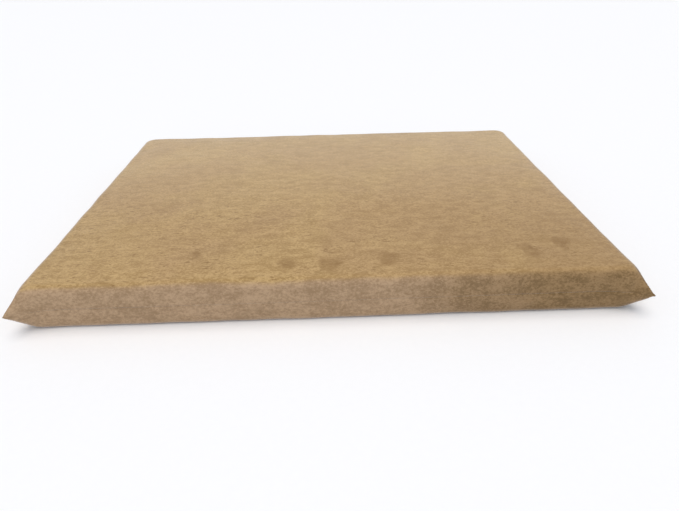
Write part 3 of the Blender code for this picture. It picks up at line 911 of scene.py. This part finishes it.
def tape():
    n = Nodes("zipper_tape")
    weft = n.wave(470, "Z", 0.3)
    warp = n.wave(600, "X", 0.3)
    weave = n.math("MULTIPLY", weft, warp)
    n.colour(n.mix(weave, (0.20, 0.125, 0.058), (0.37, 0.24, 0.115)))
    n.rough(n.ramp(weave, 0, 1, 0.85, 0.7))
    n.set(sheen_weight=0.15, specular_ior_level=0.3)
    n.bump(weave, 0.0002, 0.8)
    return n.material


def nylon():
    n = Nodes("coil_nylon")
    streak = n.noise(300, detail=2, rough=0.5)
    n.colour(n.mix(streak, (0.20, 0.12, 0.055), (0.31, 0.195, 0.09)))
    n.rough(n.ramp(streak, 0.3, 0.7, 0.30, 0.42))
    n.set(specular_ior_level=0.5, coat_weight=0.15)
    n.bump(streak, 0.00003, 0.5)
    return n.material


def bronze():
    n = Nodes("satin_bronze")
    brushed = n.noise(900, detail=3, rough=0.6, stretch=(0.12, 1, 1))
    patches = n.noise(160, detail=3, rough=0.6)
    n.colour(n.mix(patches, (0.27, 0.195, 0.11), (0.40, 0.30, 0.18)))
    n.rough(n.ramp(brushed, 0.3, 0.7, 0.26, 0.42))
    n.set(metallic=0.9)
    n.bump(brushed, 0.00003, 0.6)
    return n.material


def satin():
    n = Nodes("label_satin")
    threads = n.wave(520, "Y", 0.2)
    slubs = n.noise(300, detail=3, stretch=(1, 0.3, 1))
    n.colour(n.mix(slubs, (0.74, 0.73, 0.70), (0.88, 0.87, 0.84)))
    n.rough(n.ramp(threads, 0, 1, 0.45, 0.6))
    n.set(sheen_weight=0.2, specular_ior_level=0.45)
    n.bump(threads, 0.00008, 0.6)
    return n.material


def foam(name, dark, pale, pore):
    n = Nodes(name)
    pores = n.cells(pore)
    mottle = n.noise(30, detail=4)
    # The pores are darker: painted shade in the foam's open cells
    n.colour(n.mix(n.ramp(pores, 0.1, 0.5), dark, n.mix(mottle, dark, pale)))
    n.rough(n.ramp(mottle, 0, 1, 0.95, 0.85))
    n.set(specular_ior_level=0.2)
    n.bump(pores, 0.0006, 0.9)
    return n.material


def liner():
    n = Nodes("liner_weave")
    weave = n.math("MULTIPLY", n.wave(200, "X", 0.2), n.wave(200, "Y", 0.2))
    n.colour(n.mix(weave, (0.66, 0.66, 0.64), (0.86, 0.86, 0.84)))
    n.rough(n.ramp(weave, 0, 1, 0.9, 0.75))
    n.bump(weave, 0.0002, 0.6)
    return n.material


def floor_paper():
    n = Nodes("studio_paper")
    grain = n.noise(90, detail=3)
    n.colour(n.mix(grain, (0.925, 0.925, 0.925), (0.945, 0.945, 0.945)))
    n.rough(n.ramp(grain, 0, 1, 0.9, 0.8))
    n.set(specular_ior_level=0.1)
    return n.material


def dress(objects, material):
    for obj in objects:
        obj.data.materials.clear()
        obj.data.materials.append(material)


def dress_nodes(material, *names):
    """A better material on CAD nodes, whose shapes stay as they are."""
    for name in names:
        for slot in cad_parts[name].material_slots:
            slot.material = material


# ---------------------------------------------------------------- floor, light, camera

def stage():
    """The white paper that the pad lies on."""
    size = FLOOR_HALF
    points = [(-size, -size, 0), (size, -size, 0), (size, size, 0), (-size, size, 0)]
    ground = mesh_object("studio_floor", points, [(0, 1, 2, 3)])
    dress([ground], floor_paper())


def lights():
    world = bpy.data.worlds.new("soft_surround")
    bpy.context.scene.world = world
    world.use_nodes = True
    background = world.node_tree.nodes["Background"]
    background.inputs["Color"].default_value = (0.845, 0.90, 0.985, 1)
    background.inputs["Strength"].default_value = 0.565
    sun("overhead", colour=(1.0, 0.935, 0.88), energy=1.51, angle=50, tilt=(-1, -3))
    sun("front_fill", colour=(0.88, 0.93, 1.0), energy=0.54, angle=80, tilt=(50, -6))


def sun(name, colour, energy, angle, tilt):
    """A wide, soft sun. Tilt is its lean towards the front and towards the right, in degrees."""
    light = bpy.data.lights.new(name, "SUN")
    light.color = colour
    light.energy = energy
    light.angle = math.radians(angle)
    lamp = bpy.data.objects.new(name, light)
    lamp.rotation_euler = (math.radians(tilt[0]), math.radians(tilt[1]), 0)
    bpy.context.scene.collection.objects.link(lamp)


def camera():
    """The photograph's viewpoint: in front, a little over half a metre up, looking down at the pad."""
    yaw, pitch, roll = (math.radians(a) for a in (CAMERA_YAW, CAMERA_PITCH, CAMERA_ROLL))
    forward = Vector((math.sin(yaw) * math.cos(pitch), math.cos(yaw) * math.cos(pitch), -math.sin(pitch)))
    level = Vector((math.cos(yaw), -math.sin(yaw), 0))
    up = level.cross(forward)
    right = level * math.cos(roll) + up * math.sin(roll)
    top = up * math.cos(roll) - level * math.sin(roll)
    data = bpy.data.cameras.new("camera")
    data.lens = CAMERA_LENS
    data.sensor_width = SENSOR_WIDTH
    cam = bpy.data.objects.new("camera", data)
    turn = Matrix((right, top, -forward)).transposed().to_4x4()
    cam.matrix_world = Matrix.Translation(CAMERA_PLACE) @ turn
    bpy.context.scene.collection.objects.link(cam)
    bpy.context.scene.camera = cam


def main():
    camera()
    top, bottom = cover_panels()
    suede, yarn = microsuede(), thread()
    dress([top, bottom], suede)
    dress(tapes((top, bottom)), tape())
    dress(coils(), nylon())
    dress(stitch_rows(top, bottom) + bar_tacks(), yarn)
    dress([label()], satin())
    dress_nodes(yarn, "perimeter_seam_thread")
    dress_nodes(bronze(), "zipper_slider", "zipper_pull_tab", "zipper_top_stop_upper",
                "zipper_top_stop_lower", "zipper_bottom_stop")
    dress_nodes(foam("comfort_foam", (0.66, 0.60, 0.42), (0.88, 0.83, 0.66), 900), "foam_comfort_layer")
    dress_nodes(foam("base_foam", (0.58, 0.58, 0.58), (0.84, 0.84, 0.83), 700), "foam_base_layer")
    dress_nodes(liner(), "inner_liner")
    stage()
    lights()
    bpy.context.scene.view_settings.view_transform = "Standard"


main()
